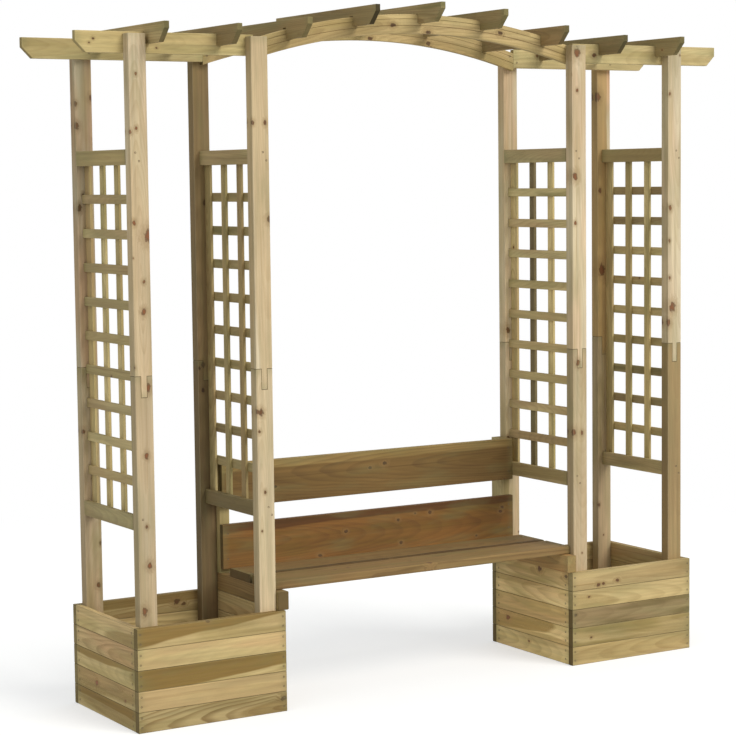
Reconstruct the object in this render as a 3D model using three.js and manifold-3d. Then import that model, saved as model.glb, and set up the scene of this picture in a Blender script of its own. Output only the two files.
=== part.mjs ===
// Arbour seat: a slatted bench between two planter boxes, under a pergola top.
// Millimetres, +X to the right seen from the front, front towards -Y, +Z up.
import * as THREE from "three";
import { mergeVertices } from "three/addons/utils/BufferGeometryUtils.js";
import Module from "manifold-3d";

const wasm = await Module();
wasm.setup();

// Clearances
const fit = 0.3; // gap left between two pieces that touch
const overrun = 5; // how far a cutting block runs past the piece it cuts

// Planter boxes
const planterWidth = 527; // along X
const planterDepth = 496; // along Y
const bayWidth = 1146; // clear way between the two boxes
const wallBoards = 5; // boards stacked in each wall
const wallBoardHeight = 66;
const wallThickness = 22;
const wallBoardRound = 2.5; // eased edge of each wall board
const floorThickness = 18;
const floorBoards = 5;
const floorGap = 3; // drainage gap between two floor boards
const floorGapMargin = 60; // solid wood left at both ends of a gap

// Posts, in two lengths with a bridle joint
const postWidth = 60; // along X
const postDepth = 38; // along Y
const postRound = 3;
const postHeight = 2165;
const jointHeight = 1114; // shoulder of the bridle joint
const tongueLength = 66;
const tongueWidth = 20;

// Side trellis panels
const panelDrop = 352; // panel's top below the top of the posts
const panelHeight = 1182;
const panelRailHeight = 48;
const panelRailThickness = 17.7;
const slatCount = 9;
const slatHeight = 29.5;
const slatThickness = 10;
const slatHousing = 1; // how deep each slat is let into the uprights
const highestCell = 91; // clear height between the top rail and the highest slat
const lowestCell = 86.3; // clear height between the lowest slat and the bottom rail
const uprightWidth = 29.5;
const uprightThickness = 10;
const uprightSpacing = 110; // between the centres of the two middle uprights
const stileWidth = 37;
const innerSetback = 20.3; // rail face behind the post face, on panels fixed from inside the box

// Top rails and arched beams
const railDepth = 66;
const railThickness = 20;
const railAbovePost = 7;
const longOverhang = 162; // past the planter's outer face, rails left back and right front
const shortOverhang = 135; // the same, rails left front and right back
const railEndCut = 35;
const beamEndGap = 0.6; // between the end of a rail and the end of an arched beam
const archThickness = 20;
const archEndDrop = 12.8; // top of the beam's end below the top of the rail
const archDepth = 63;
const archRise = 94.8; // of the top and of the underside, from end to middle
const archSegments = 40;
const glueLineDrops = [14, 35.5]; // two glue lines below the beam's top edge
const glueLineWidth = 2;
const glueLineDepth = 0.8;

// Rafters
const rafterCount = 9;
const rafterThickness = 18;
const rafterDepth = 62;
const rafterOverhang = 83; // past the planter's front and back faces
const rafterSetback = 103.2; // last rafter's centre in from the planter's outer face
const rafterEndCut = 40;
const rafterStand = 25; // rafter's top above a straight rail
const rafterCrownStand = 32; // middle rafter's top above the arched beams
const rafterSweepRadius = 2000;

// Bench
const bearerWidth = 38; // along X
const bearerHeight = 60;
const bearerLap = 14; // how far the bearer runs past the front posts
const seatBoardWidth = 146;
const seatBoardThickness = 28;
const seatBoardGap = 11;
const seatBoardRound = 4;
const seatSetback = 42; // seat's front edge behind the planters' front faces
const battenWidth = 38; // along X
const battenDepth = 60; // along Y
const backBoardWidth = 149;
const backBoardThickness = 21;
const backBoardRound = 2.5;
const backBoardDrop = 9.6; // lower back board's bottom edge below the seat's top
const backBoardGap = 59;
const boardEndGap = 0.6; // between a board's end and the posts

// Places that several pieces share
const bayHalf = bayWidth / 2;
const outerFace = bayHalf + planterWidth;
const planterHalf = planterDepth / 2;
const wallHeight = wallBoards * wallBoardHeight;
const postInset = wallThickness + fit;
const innerPostFace = bayHalf + postInset;
const outerPostFace = outerFace - postInset;
const postOut = planterHalf - postInset; // post face against the front or back wall
const postIn = postOut - postDepth; // post face turned to the middle of the box
const railTop = postHeight + railAbovePost;
const railNear = postIn - fit - railThickness; // rail face turned to the middle of the box
const archHalf = innerPostFace + (postWidth - beamEndGap) / 2;
const archCrown = railTop - archEndDrop + archRise;
const roundSteps = 2; // straight lengths in a quarter of a rounded edge

const look = {
  post: [0xc4ad7e, 0.78],
  wall: [0xb9a878, 0.82],
  floor: [0x9c8656, 0.85],
  trellis: [0xa8905e, 0.82],
  rail: [0xbda56d, 0.8],
  rafter: [0xae9862, 0.8],
  bench: [0xa5854f, 0.76],
  backrest: [0x8a6436, 0.76],
};

const part = new THREE.Group();

function addMesh(name, geometry, finish) {
  const [color, roughness] = look[finish];
  const material = new THREE.MeshStandardMaterial({ color, roughness, metalness: 0 });
  const mesh = new THREE.Mesh(geometry, material);
  mesh.name = name;
  part.add(mesh);
}

function toSolid(geometry) {
  const bare = geometry.clone();
  bare.deleteAttribute("normal");
  bare.deleteAttribute("uv");
  const merged = mergeVertices(bare);
  const vertProperties = new Float32Array(merged.attributes.position.array);
  const triVerts = new Uint32Array(merged.index.array);
  return new wasm.Manifold(new wasm.Mesh({ numProp: 3, vertProperties, triVerts }));
}

function toGeometry(solid) {
  const mesh = solid.getMesh();
  const places = new Float32Array(mesh.vertProperties);
  const corners = new Uint32Array(mesh.triVerts);
  const geometry = new THREE.BufferGeometry();
  geometry.setAttribute("position", new THREE.BufferAttribute(places, 3));
  geometry.setIndex(new THREE.BufferAttribute(corners, 1));
  geometry.computeVertexNormals();
  return geometry;
}

// A block between two corners
function block(x0, x1, y0, y1, z0, z1) {
  const geometry = new THREE.BoxGeometry(x1 - x0, y1 - y0, z1 - z0);
  return geometry.translate((x0 + x1) / 2, (y0 + y1) / 2, (z0 + z1) / 2);
}

function outline(points) {
  return new THREE.Shape(points.map(([u, v]) => new THREE.Vector2(u, v)));
}

// The rounded section of a piece of sawn timber, from corner to corner
function timberSection(u0, u1, v0, v1, round) {
  const quarter = Math.PI / 2;
  const shape = new THREE.Shape();
  shape.moveTo(u0 + round, v0);
  shape.lineTo(u1 - round, v0);
  shape.absarc(u1 - round, v0 + round, round, -quarter, 0, false);
  shape.lineTo(u1, v1 - round);
  shape.absarc(u1 - round, v1 - round, round, 0, quarter, false);
  shape.lineTo(u0 + round, v1);
  shape.absarc(u0 + round, v1 - round, round, quarter, Math.PI, false);
  shape.lineTo(u0, v0 + round);
  shape.absarc(u0 + round, v0 + round, round, Math.PI, Math.PI + quarter, false);
  return shape;
}

function extrude(shape, depth) {
  return new THREE.ExtrudeGeometry(shape, { depth, bevelEnabled: false, curveSegments: roundSteps });
}

// A section drawn in YZ and run along X
function alongX(shape, x0, x1) {
  const turn = new THREE.Matrix4().set(0, 0, 1, x0, 1, 0, 0, 0, 0, 1, 0, 0, 0, 0, 0, 1);
  return extrude(shape, x1 - x0).applyMatrix4(turn);
}

// A section drawn in XZ and run along Y
function alongY(shape, y0, y1) {
  const turn = new THREE.Matrix4().set(1, 0, 0, 0, 0, 0, -1, y1, 0, 1, 0, 0, 0, 0, 0, 1);
  return extrude(shape, y1 - y0).applyMatrix4(turn);
}

// A section drawn in XY and run up Z
function alongZ(shape, z0, z1) {
  return extrude(shape, z1 - z0).translate(0, 0, z0);
}

// The section of a planter wall: stacked boards with eased edges at each joint
function wallSection(near, far) {
  const nearSide = [];
  const farSide = [];
  for (let board = 0; board < wallBoards; board += 1) {
    const bottom = board * wallBoardHeight;
    const low = bottom + wallBoardRound;
    const high = bottom + wallBoardHeight - wallBoardRound;
    farSide.push([far - wallBoardRound, bottom], [far, low], [far, high]);
    nearSide.push([near + wallBoardRound, bottom], [near, low], [near, high]);
  }
  const top = [[far - wallBoardRound, wallHeight], [near + wallBoardRound, wallHeight]];
  return outline([...farSide, ...top, ...nearSide.reverse()]);
}

// The front and back walls run the full width, and the side walls stand between them
function addPlanter(side, sign) {
  const xLow = sign > 0 ? bayHalf : -outerFace;
  const xHigh = xLow + planterWidth;
  const front = wallSection(-planterHalf, -planterHalf + wallThickness);
  const back = wallSection(planterHalf - wallThickness, planterHalf);
  addMesh(`planter_${side}_front_wall`, alongX(front, xLow, xHigh), "wall");
  addMesh(`planter_${side}_back_wall`, alongX(back, xLow, xHigh), "wall");
  const [lowPlace, highPlace] = sign > 0 ? ["inner", "outer"] : ["outer", "inner"];
  const low = wallSection(xLow, xLow + wallThickness);
  const high = wallSection(xHigh - wallThickness, xHigh);
  addMesh(`planter_${side}_${lowPlace}_wall`, alongY(low, -postOut, postOut), "wall");
  addMesh(`planter_${side}_${highPlace}_wall`, alongY(high, -postOut, postOut), "wall");
  addFloor(side, xLow + postInset, xHigh - postInset);
}

// The floor lies between the walls and is cut round the four posts
function addFloor(side, xLow, xHigh) {
  const cut = (x0, x1, y0, y1) => toSolid(block(x0, x1, y0, y1, -overrun, floorThickness + overrun));
  let floor = toSolid(block(xLow, xHigh, -postOut, postOut, 0, floorThickness));
  for (const x of [xLow, xHigh]) {
    for (const y of [-postOut, postOut]) {
      const reachX = postWidth + fit;
      const reachY = postDepth + fit;
      floor = floor.subtract(cut(x - reachX, x + reachX, y - reachY, y + reachY));
    }
  }
  const boardPitch = (xHigh - xLow) / floorBoards;
  const gapEnd = postOut - floorGapMargin;
  for (let gap = 1; gap < floorBoards; gap += 1) {
    const x = xLow + gap * boardPitch;
    floor = floor.subtract(cut(x - floorGap / 2, x + floorGap / 2, -gapEnd, gapEnd));
  }
  addMesh(`planter_${side}_floor`, toGeometry(floor), "floor");
}

// One post in two lengths: the tongue of the upper one sits in the fork of the lower one
function addPost(name, xLow, yLow) {
  const xHigh = xLow + postWidth;
  const yHigh = yLow + postDepth;
  const section = timberSection(xLow, xHigh, yLow, yHigh, postRound);
  const cheek = (postWidth - tongueWidth) / 2;
  const tongueLow = xLow + cheek;
  const tongueHigh = xHigh - cheek;
  const tongueFoot = jointHeight - tongueLength;
  const cut = (x0, x1, z0, z1) => toSolid(block(x0, x1, yLow - overrun, yHigh + overrun, z0, z1));

  const fork = cut(tongueLow - fit, tongueHigh + fit, tongueFoot - fit, jointHeight + overrun);
  const lower = toSolid(alongZ(section, 0, jointHeight)).subtract(fork);
  addMesh(`post_lower_${name}`, toGeometry(lower), "post");

  const leftCut = cut(xLow - overrun, tongueLow, tongueFoot - overrun, jointHeight + fit);
  const rightCut = cut(tongueHigh, xHigh + overrun, tongueFoot - overrun, jointHeight + fit);
  const upper = toSolid(alongZ(section, tongueFoot, postHeight)).subtract(leftCut).subtract(rightCut);
  addMesh(`post_upper_${name}`, toGeometry(upper), "post");
}

function addPosts(side, sign) {
  const places = { inner: innerPostFace, outer: outerPostFace - postWidth };
  for (const [place, reach] of Object.entries(places)) {
    const xLow = sign > 0 ? reach : -reach - postWidth;
    addPost(`${side}_${place}_front`, xLow, -postOut);
    addPost(`${side}_${place}_back`, xLow, postIn);
  }
}

// A side panel of uprights and open slats, with a wider rail across its top and bottom.
// The rails are on the panel's left, and the slats lie next to them or beyond the uprights.
function addTrellis(name, railFace, slatsNextToRails) {
  const yEnd = postIn - fit;
  const panelTop = postHeight - panelDrop;
  const panelBottom = panelTop - panelHeight;
  const railBack = railFace + panelRailThickness;
  const uprightFace = slatsNextToRails ? railBack + slatThickness : railBack;
  const uprightBack = uprightFace + uprightThickness;
  const slatLow = slatsNextToRails ? railBack : uprightBack - slatHousing;
  const slatHigh = slatsNextToRails ? uprightFace + slatHousing : uprightBack + slatThickness;

  const pieces = [];
  const middleLow = (uprightSpacing - uprightWidth) / 2;
  const uprights = [
    [-yEnd, -yEnd + stileWidth],
    [-middleLow - uprightWidth, -middleLow],
    [middleLow, middleLow + uprightWidth],
    [yEnd - stileWidth, yEnd],
  ];
  for (const [y0, y1] of uprights) {
    pieces.push(block(uprightFace, uprightBack, y0, y1, panelBottom, panelTop));
  }
  const highestSlat = panelTop - panelRailHeight - highestCell;
  const lowestSlat = panelBottom + panelRailHeight + lowestCell + slatHeight;
  const slatPitch = (highestSlat - lowestSlat) / (slatCount - 1);
  const railTops = [panelTop, panelBottom + panelRailHeight];
  const slatTops = railTops.map((top) => top - (panelRailHeight - slatHeight) / 2);
  for (let slat = 0; slat < slatCount; slat += 1) {
    slatTops.push(highestSlat - slat * slatPitch);
  }
  for (const top of slatTops) {
    pieces.push(block(slatLow, slatHigh, -yEnd, yEnd, top - slatHeight, top));
  }
  for (const top of railTops) {
    pieces.push(block(railFace, railBack + slatHousing, -yEnd, yEnd, top - panelRailHeight, top));
  }
  const panel = pieces.map(toSolid).reduce((whole, piece) => whole.add(piece));
  addMesh(`trellis_${name}`, toGeometry(panel), "trellis");
}

function addTrellises() {
  addTrellis("left_outer", -outerPostFace, true);
  addTrellis("left_inner", -innerPostFace - postWidth + innerSetback, false);
  addTrellis("right_inner", innerPostFace, true);
  addTrellis("right_outer", outerPostFace - postWidth + innerSetback, false);
}

// A straight top rail over one planter, with its free end cut at the lower corner
function addRail(side, row, sign, yLow, overhang) {
  const freeEnd = outerFace + overhang;
  const jointEnd = archHalf + beamEndGap;
  const railBottom = railTop - railDepth;
  const points = [
    [jointEnd, railBottom],
    [freeEnd - railEndCut, railBottom],
    [freeEnd, railBottom + railEndCut],
    [freeEnd, railTop],
    [jointEnd, railTop],
  ];
  const shape = outline(points.map(([x, z]) => [sign * x, z]));
  addMesh(`rail_${side}_${row}`, alongY(shape, yLow, yLow + railThickness), "rail");
}

// Height of the beams' top edge, an arc over the span between the two beam ends
function archTopAt(x) {
  const radius = (archHalf ** 2 + archRise ** 2) / (2 * archRise);
  return archCrown - radius + Math.sqrt(radius ** 2 - x ** 2);
}

// A curved strip between two heights that follow X
function curvedStrip(lowAt, highAt, half, yLow, yHigh) {
  const low = [];
  const high = [];
  for (let step = 0; step <= archSegments; step += 1) {
    const x = half * ((2 * step) / archSegments - 1);
    low.push([x, lowAt(x)]);
    high.push([x, highAt(x)]);
  }
  return alongY(outline([...low, ...high.reverse()]), yLow, yHigh);
}

// An arched beam glued from three layers, with a fine groove at each glue line on both faces
function addArch(row, yLow) {
  const yHigh = yLow + archThickness;
  const below = (drop) => (x) => archTopAt(x) - drop;
  let beam = toSolid(curvedStrip(below(archDepth), archTopAt, archHalf, yLow, yHigh));
  for (const drop of glueLineDrops) {
    const low = below(drop + glueLineWidth);
    const groove = (y0, y1) => toSolid(curvedStrip(low, below(drop), archHalf + overrun, y0, y1));
    beam = beam.subtract(groove(yLow - overrun, yLow + glueLineDepth));
    beam = beam.subtract(groove(yHigh - glueLineDepth, yHigh + overrun));
  }
  addMesh(`arch_${row}`, toGeometry(beam), "rail");
}

// The rafters' tops follow a gentle curve over the bay and stay level over the planters
function rafterTopAt(x) {
  const sweepDrop = rafterSweepRadius - Math.sqrt(rafterSweepRadius ** 2 - x ** 2);
  return Math.max(railTop + rafterStand, archCrown + rafterCrownStand - sweepDrop);
}

// A rafter on edge, notched over the front and back beams, with its ends cut at the lower corner
function addRafter(number, x) {
  const top = rafterTopAt(x);
  const bottom = top - rafterDepth;
  const end = planterHalf + rafterOverhang;
  const nearest = Math.max(Math.abs(x) - rafterThickness / 2, 0);
  const notchTop = fit + (nearest < archHalf ? archTopAt(nearest) : railTop);
  const notchNear = railNear - fit;
  const notchFar = railNear + railThickness + fit;
  const half = [
    [notchNear, bottom],
    [notchNear, notchTop],
    [notchFar, notchTop],
    [notchFar, bottom],
    [end - rafterEndCut, bottom],
    [end, bottom + rafterEndCut],
    [end, top],
  ];
  const mirrored = [...half].reverse().map(([y, z]) => [-y, z]);
  const shape = outline([...half, ...mirrored]);
  addMesh(`rafter_${number}`, alongX(shape, x - rafterThickness / 2, x + rafterThickness / 2), "rafter");
}

// The top: rails over the planters, arched beams over the bay, and the rafters across them
function addTop() {
  addRail("left", "front", -1, -railNear - railThickness, shortOverhang);
  addRail("left", "back", -1, railNear, longOverhang);
  addRail("right", "front", 1, -railNear - railThickness, longOverhang);
  addRail("right", "back", 1, railNear, shortOverhang);
  addArch("front", -railNear - archThickness);
  addArch("back", railNear);
  const pitch = (2 * (outerFace - rafterSetback)) / (rafterCount - 1);
  for (let index = 0; index < rafterCount; index += 1) {
    addRafter(index + 1, (index - (rafterCount - 1) / 2) * pitch);
  }
}

// The bench stands on the inner walls of the boxes, between the posts
function addBench() {
  const bearerBottom = wallHeight + fit;
  const bearerTop = bearerBottom + bearerHeight;
  const bearerEnd = innerPostFace - fit;
  const seatBottom = bearerTop + fit;
  const seatTop = seatBottom + seatBoardThickness;
  const lowerBack = seatTop - backBoardDrop;
  const upperBack = lowerBack + backBoardWidth + backBoardGap;
  const battenFront = postOut - battenDepth;
  const boardHalf = innerPostFace - boardEndGap;

  for (const [side, sign] of [["left", -1], ["right", 1]]) {
    const bearerLow = sign > 0 ? bearerEnd - bearerWidth : -bearerEnd;
    const bearer = timberSection(bearerLow, bearerLow + bearerWidth, bearerBottom, bearerTop, postRound);
    addMesh(`seat_bearer_${side}`, alongY(bearer, -postOut - bearerLap, postOut), "bench");
    const battenLow = sign > 0 ? bearerEnd - battenWidth : -bearerEnd;
    const batten = timberSection(battenLow, battenLow + battenWidth, battenFront, postOut, postRound);
    addMesh(`backrest_batten_${side}`, alongZ(batten, seatBottom, upperBack + backBoardWidth), "bench");
  }

  const seatFront = seatSetback - planterHalf;
  const seatPlaces = { front: seatFront, back: seatFront + seatBoardWidth + seatBoardGap };
  for (const [row, y] of Object.entries(seatPlaces)) {
    const section = timberSection(y, y + seatBoardWidth, seatBottom, seatTop, seatBoardRound);
    addMesh(`seat_board_${row}`, alongX(section, -boardHalf, boardHalf), "bench");
  }
  const backFar = battenFront - fit;
  const backNear = backFar - backBoardThickness;
  for (const [level, z] of Object.entries({ lower: lowerBack, upper: upperBack })) {
    const section = timberSection(backNear, backFar, z, z + backBoardWidth, backBoardRound);
    addMesh(`backrest_board_${level}`, alongX(section, -boardHalf, boardHalf), "backrest");
  }
}

for (const [side, sign] of [["left", -1], ["right", 1]]) {
  addPlanter(side, sign);
  addPosts(side, sign);
}
addTrellises();
addTop();
addBench();

export default part;
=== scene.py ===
# %% [markdown]
# # An arbour seat in pressure-treated pine
#
# The real thing is planed softwood: two planter boxes carry eight posts, the posts carry trellis
# sides and a pergola top, and a bench hangs between the boxes. Everything here is a board of some
# kind, so the lesson is mostly about one idea: shape each board simply, tell every point of it
# where it lies in its own board, and let one set of shader groups paint the wood from that.

# %% Load the frame
import math
import random

import bmesh
import bpy
from mathutils import Matrix, Vector


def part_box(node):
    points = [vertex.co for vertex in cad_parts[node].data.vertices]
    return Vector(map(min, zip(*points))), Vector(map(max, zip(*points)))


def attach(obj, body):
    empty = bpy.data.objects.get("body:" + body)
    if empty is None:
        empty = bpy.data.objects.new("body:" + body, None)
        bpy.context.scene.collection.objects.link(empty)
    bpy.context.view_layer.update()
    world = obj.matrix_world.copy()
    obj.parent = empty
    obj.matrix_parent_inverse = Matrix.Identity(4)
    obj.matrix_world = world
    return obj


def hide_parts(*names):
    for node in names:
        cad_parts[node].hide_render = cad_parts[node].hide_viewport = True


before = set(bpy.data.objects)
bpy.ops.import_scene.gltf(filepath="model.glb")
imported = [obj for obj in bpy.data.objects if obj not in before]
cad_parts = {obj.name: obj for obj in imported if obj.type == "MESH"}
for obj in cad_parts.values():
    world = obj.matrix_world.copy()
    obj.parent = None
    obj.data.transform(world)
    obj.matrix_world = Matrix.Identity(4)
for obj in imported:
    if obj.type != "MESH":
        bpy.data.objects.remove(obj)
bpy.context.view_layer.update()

MM = 0.001
chance = random.Random(11)
scene = bpy.context.scene

# %% [markdown]
# ## Camera
#
# The photograph was taken with a long lens, from the left, a little above the seat. A camera is
# turned by three directions that stand square to each other. We work out where it looks, take the
# level direction to its right, and roll both by less than a degree, as the photograph is.

# %% Camera
CAMERA_PLACE = Vector((-3.849, -6.218, 1.709))
heading, tilt, roll = 0.5422, -0.0875, -0.012
ahead = Vector((math.sin(heading) * math.cos(tilt), math.cos(heading) * math.cos(tilt), math.sin(tilt)))
level = Vector((math.cos(heading), -math.sin(heading), 0))
above = level.cross(ahead)
to_right = level * math.cos(roll) + above * math.sin(roll)
to_top = above * math.cos(roll) - level * math.sin(roll)

camera = bpy.data.objects.new("camera", bpy.data.cameras.new("camera"))
camera.data.lens = 104.6
camera.data.sensor_width = 36
turn = Matrix((to_right, to_top, -ahead)).transposed().to_4x4()
camera.matrix_world = Matrix.Translation(CAMERA_PLACE) @ turn
scene.collection.objects.link(camera)
scene.camera = camera
print("Camera looks along", tuple(round(c, 3) for c in ahead))

# %% [markdown]
# ## Writing shaders as formulas
#
# A shader with forty nodes is hard to read as forty blocks of code. A small pen adds a node, fills
# its sockets and hands back its output as a Value. Values can stand in a formula, where each sign
# adds one maths node.

# %% A pen for node trees
class Value:
    """A node's output that can stand in a formula."""

    def __init__(self, pen, socket):
        self.pen, self.socket = pen, socket

    def __add__(self, other):
        return self.pen.math("ADD", self, other)

    def __sub__(self, other):
        return self.pen.math("SUBTRACT", self, other)

    def __mul__(self, other):
        return self.pen.math("MULTIPLY", self, other)

    def __truediv__(self, other):
        return self.pen.math("DIVIDE", self, other)

    def __abs__(self):
        return self.pen.math("ABSOLUTE", self)


class Pen:
    """Adds nodes to one tree and joins them up."""

    def __init__(self, tree):
        self.tree = tree

    def put(self, socket, value):
        if isinstance(value, Value):
            value = value.socket
        if isinstance(value, bpy.types.NodeSocket):
            self.tree.links.new(value, socket)
        else:
            socket.default_value = value

    def fill(self, sockets, **values):
        """Fills several sockets. An underscore in a name stands for a space."""
        for name, value in values.items():
            self.put(sockets[name.replace("_", " ")], value)

    def add(self, kind, values=None, **settings):
        node = self.tree.nodes.new(kind)
        for name, setting in settings.items():
            setattr(node, name, setting)
        for name, value in (values or {}).items():
            self.put(node.inputs[name], value)
        return node

    def math(self, operation, *values, clamp=False):
        node = self.add("ShaderNodeMath", dict(enumerate(values)), operation=operation, use_clamp=clamp)
        return Value(self, node.outputs[0])

    def vector(self, operation, *values, output="Vector"):
        node = self.add("ShaderNodeVectorMath", dict(enumerate(values)), operation=operation)
        return Value(self, node.outputs[output])

    def scaled(self, vector, x, y, z):
        return self.vector("MULTIPLY", vector, (x, y, z))

    def join(self, x, y, z):
        return self.add("ShaderNodeCombineXYZ", {0: x, 1: y, 2: z}).outputs[0]

    def split(self, vector, kind="XYZ"):
        node = self.add("ShaderNodeSeparate" + kind, {0: vector})
        return [Value(self, socket) for socket in node.outputs]

    def luck(self, number):
        """Three chance numbers, always the same three for one number."""
        node = self.add("ShaderNodeTexWhiteNoise", {"W": number}, noise_dimensions="1D")
        return self.split(node.outputs["Color"], "Color")

    def noise(self, vector, waves, detail=2.0):
        """Smooth noise, with so many waves in a metre along each of the vector's three ways."""
        sockets = {"Vector": self.scaled(vector, *waves), "Scale": 1.0, "Detail": detail}
        return Value(self, self.add("ShaderNodeTexNoise", sockets).outputs["Fac"])

    def between(self, value, start, end):
        """Goes smoothly from 0 to 1 while value goes from start to end."""
        sockets = {"Value": value, "From Min": start, "From Max": end}
        node = self.add("ShaderNodeMapRange", sockets, interpolation_type="SMOOTHSTEP")
        return Value(self, node.outputs["Result"])

    def mix(self, factor, first, second, blend="MIX"):
        node = self.add("ShaderNodeMix", data_type="RGBA", blend_type=blend)
        for socket, value in zip((node.inputs[0], node.inputs[6], node.inputs[7]), (factor, first, second)):
            self.put(socket, value)
        return node.outputs[2]

    def looked_at(self):
        """Is 1 for what the camera sees, also in a mirror or through glass, and 0 for light."""
        rays = self.add("ShaderNodeLightPath").outputs
        either = self.math("MAXIMUM", rays["Is Camera Ray"], rays["Is Glossy Ray"])
        return self.math("MAXIMUM", either, rays["Is Transmission Ray"])

# %% New groups, materials and colours
def new_group(name, inputs, outputs):
    """Starts a shader group from the names and kinds of its sockets; gives its pen and both ends."""
    tree = bpy.data.node_groups.new(name, "ShaderNodeTree")
    for side, sockets in (("INPUT", inputs), ("OUTPUT", outputs)):
        for label, kind in sockets.items():
            tree.interface.new_socket(label, in_out=side, socket_type="NodeSocket" + kind)
    pen = Pen(tree)
    sources = tree.nodes.new("NodeGroupInput").outputs
    given = {label: Value(pen, sources[label]) for label in inputs}
    return pen, given, tree.nodes.new("NodeGroupOutput").inputs


def new_material(name):
    """An empty material and a pen for it."""
    material = bpy.data.materials.new(name)
    material.use_nodes = True
    material.node_tree.nodes.clear()
    return material, Pen(material.node_tree)


def paint(red, green, blue):
    """A colour written as it looks on screen, 0 to 255, turned into the shader's linear values."""
    def linear(value):
        value = value / 255
        return value / 12.92 if value <= 0.04045 else ((value + 0.055) / 1.055) ** 2.4
    return (linear(red), linear(green), linear(blue), 1.0)


print("Mid grey, as the shader sees it:", round(paint(128, 128, 128)[0], 3))

# %% [markdown]
# ## Light
#
# The photograph has soft daylight from the front and the right, slightly warm where it falls and
# cooler in the shade. A sun lamp with a wide angle gives soft edges and the same strength
# everywhere, which a small area lamp would not. The pale world fills the shadows, and a second,
# weaker sun keeps the left faces readable. Key, fill and the floor's bounce add up to about one on
# a front face, so that a colour renders there as it is written.

# %% Lamps and world
def add_sun(name, towards, strength, angle, colour):
    lamp = bpy.data.lights.new(name, "SUN")
    lamp.energy = strength
    lamp.color = colour
    lamp.angle = math.radians(angle)
    holder = bpy.data.objects.new(name, lamp)
    holder.rotation_euler = Vector(towards).to_track_quat("Z", "Y").to_euler()
    scene.collection.objects.link(holder)


add_sun("key_light", (0.35, -0.8, 0.7), 1.9, 35, (1.0, 0.97, 0.9))
add_sun("side_light", (-0.9, -0.35, 0.45), 0.4, 50, (1.0, 1.0, 1.0))

scene.view_settings.view_transform = "Standard"
scene.world = bpy.data.worlds.new("studio")
scene.world.use_nodes = True
scene.world.node_tree.nodes.clear()
pen = Pen(scene.world.node_tree)
fill = pen.add("ShaderNodeBackground")
fill.inputs["Color"].default_value = (0.94, 0.98, 1.0, 1)
fill.inputs["Strength"].default_value = 0.56
plain = pen.add("ShaderNodeBackground")
plain.inputs["Color"].default_value = (1, 1, 1, 1)
plain.inputs["Strength"].default_value = 1.0
choose = pen.add("ShaderNodeMixShader", {0: pen.looked_at(), 1: fill.outputs[0], 2: plain.outputs[0]})
pen.add("ShaderNodeOutputWorld", {"Surface": choose.outputs[0]})

# %% [markdown]
# ## The grain of a board
#
# A board is cut out of a log, so its pattern is the log's growth rings, met at an angle. We place
# an imagined pith line just outside each board, lean it a little, and measure how far each point is
# from it: that alone gives straight grain on one face and tall pointed arches on another. Near the
# pith the wood is darker heartwood. Knots are the roots of branches that run through the board's
# thickness, and the rings swing round them.
#
# The input Place is a point's position in its own board, along, across and through it, in metres,
# and Half is half the board's size in the same three ways. Board holds three numbers that are the
# same all over one board: a seed, a tone and an amount of heartwood. Band is a straight border
# between pale sapwood and darker heartwood, as an offset, a slope and a strength, which is negative
# for heartwood on the other side. Knots come in two ways: scattered by chance, and up to six at
# chosen places, each given as its place along and across the board and its radius.

# %% Grain group
KNOTS = ["Knot 1", "Knot 2", "Knot 3", "Knot 4", "Knot 5", "Knot 6"]
MASKS = ["Rings", "Heart", "Streaks", "Lines", "Fibre", "Blotches", "Warm", "Olive", "Knot", "Knot rim",
         "Knot halo"]
KNOT_RATE = (4.4, 12.0)  # places for a chance knot in a metre, along and across
OUT_OF_REACH = 20  # is added for a chance knot that isn't there

pen, given, result = new_group(
    "Grain", {**dict.fromkeys(["Place", "Half", "Board", "Band", *KNOTS], "Vector"),
              **dict.fromkeys(["Ring width", "Knot size", "Knot share"], "Float")},
    dict.fromkeys([*MASKS, "Relief"], "Float"))
seed, _, heart_share = pen.split(given["Board"])
along, across, through = pen.split(given["Place"])
moved = pen.vector("ADD", given["Place"], pen.join(seed * 37, seed * 13, seed * 7))
side_luck, depth_luck, lean_luck = pen.luck(seed * 91)
dive_luck, contrast_luck, _ = pen.luck(seed * 57)

# Knots, which fade with their depth below the board's face and are longer along the grain
below = pen.join(0.0, 0.0, (pen.split(given["Half"])[2] - abs(through)) * 0.8)


def away_from(centre, point, shorter):
    over = pen.scaled(pen.vector("SUBTRACT", point, centre), shorter, 1, 0)
    return pen.vector("LENGTH", pen.vector("ADD", over, below), output="Value")


cells = pen.add("ShaderNodeTexVoronoi", {"Vector": pen.scaled(moved, *KNOT_RATE, 0), "Scale": 1.0},
                voronoi_dimensions="2D").outputs
centre = pen.scaled(cells["Position"], 1 / KNOT_RATE[0], 1 / KNOT_RATE[1], 0)
size_luck, there_luck, _ = pen.split(cells["Color"], "Color")
radius = given["Knot size"] * (size_luck * 0.65 + 0.35)
absent = pen.math("GREATER_THAN", there_luck, given["Knot share"]) * OUT_OF_REACH
reach = away_from(centre, moved, 0.8) / radius + absent
for name in KNOTS:
    away = away_from(given[name], given["Place"], 0.72)
    reach = pen.math("MINIMUM", reach, away / pen.split(given[name])[2])
reach = (pen.noise(moved, (90, 110, 110), 3.0) - 0.5) * 1.9 + reach
knot = pen.between(reach, 1.3, 0.6)
rim = pen.between(reach, 0.45, 0.9) * pen.between(reach, 1.35, 0.95)
halo = pen.between(reach, 3.6, 0.9)

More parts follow.
